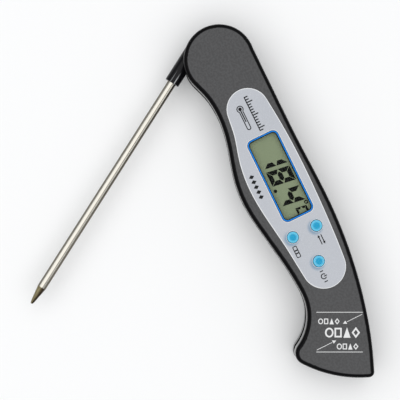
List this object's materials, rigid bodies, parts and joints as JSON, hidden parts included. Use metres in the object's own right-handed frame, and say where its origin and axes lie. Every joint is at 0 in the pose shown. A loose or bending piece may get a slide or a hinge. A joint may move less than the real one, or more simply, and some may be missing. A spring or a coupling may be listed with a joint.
{
  "type": "folding probe thermometer",
  "caption": "Folding digital meat thermometer: curved dark handle with a display and round keys, and a pointed steel probe hinged at its head.",
  "frame": {"origin": "on the probe's hinge axis, in the flat back face", "axes": "+Z out of the front face along the hinge axis, +X along the handle from the hinge to the tail, so the probe folds in on the -Y side"},
  "size_m": [0.1622, 0.1325, 0.0204],
  "materials": {
    "handle_plastic": "fine satin texture",
    "plate_silver": "silver paint, satin",
    "lens_clear": "clear polished",
    "lcd_glass": "olive display glass",
    "lcd_film": "film",
    "white_plastic": "moulded",
    "zebra_rubber": "striped silicone",
    "board_laminate": "green solder mask",
    "black_resin": "cast resin",
    "component_ceramic": "fired ceramic",
    "switch_black": "moulded",
    "key_blue": "translucent, domed",
    "screw_steel": "zinc plated",
    "cell_wrap": "printed sleeve",
    "contact_metal": "nickel plated",
    "lead_black": "wire insulation",
    "lead_red": "wire insulation",
    "washer_plastic": "moulded",
    "hub_plastic": "polished black",
    "probe_steel": "polished stainless",
    "bead_glass": "glass bead",
    "potting": "cast resin"
  },
  "bodies": {
    "handle": {"front_shell": "handle_plastic", "back_shell": "handle_plastic", "faceplate": "plate_silver", "display_lens": "lens_clear", "lcd_glass": "lcd_glass", "lcd_polariser": "lcd_film", "lcd_reflector": "lcd_film", "lcd_holder": "white_plastic", "zebra_strips": "zebra_rubber", "circuit_board": "board_laminate", "chip_blob": "black_resin", "board_components": "component_ceramic", "tact_switches": "switch_black", "shell_screws": "screw_steel", "board_screws": "screw_steel", "aaa_cell": "cell_wrap", "cell_plate_contact": "contact_metal", "cell_spring_contact": "contact_metal", "cell_lead_black": "lead_black", "cell_lead_red": "lead_red", "friction_washer": "washer_plastic", "board_leads": "lead_black"},
    "probe": {"probe_hub": "hub_plastic", "probe_tube": "probe_steel", "thermistor_bead": "bead_glass", "probe_leads": "lead_black", "tip_potting": "potting", "tube_seal": "potting"},
    "units_button": {"units_key": "key_blue", "units_plunger": "switch_black"},
    "hold_button": {"hold_key": "key_blue", "hold_plunger": "switch_black"},
    "power_button": {"power_key": "key_blue", "power_plunger": "switch_black"},
    "door": {"battery_door": "handle_plastic"}
  },
  "joints": [
    {"name": "probe_hinge", "type": "hinge", "parent": "handle", "child": "probe", "pos_m": [0, 0, 0.009], "axis": [0, 0, 1], "range_deg": [-121.5, 58.5]},
    {"name": "units_press", "type": "slide", "parent": "handle", "child": "units_button", "axis": [0, 0, -1], "range_m": [0, 0.0006], "stiffness_N_per_m": 600, "springref_m": -0.0008},
    {"name": "hold_press", "type": "slide", "parent": "handle", "child": "hold_button", "axis": [0, 0, -1], "range_m": [0, 0.0006], "stiffness_N_per_m": 600, "springref_m": -0.0008},
    {"name": "power_press", "type": "slide", "parent": "handle", "child": "power_button", "axis": [0, 0, -1], "range_m": [0, 0.0006], "stiffness_N_per_m": 600, "springref_m": -0.0008},
    {"name": "door_swing", "type": "hinge", "parent": "handle", "child": "door", "pos_m": [0.0451, 0.0025, 0], "axis": [0, 1, 0], "range_deg": [0, 70]}
  ]
}
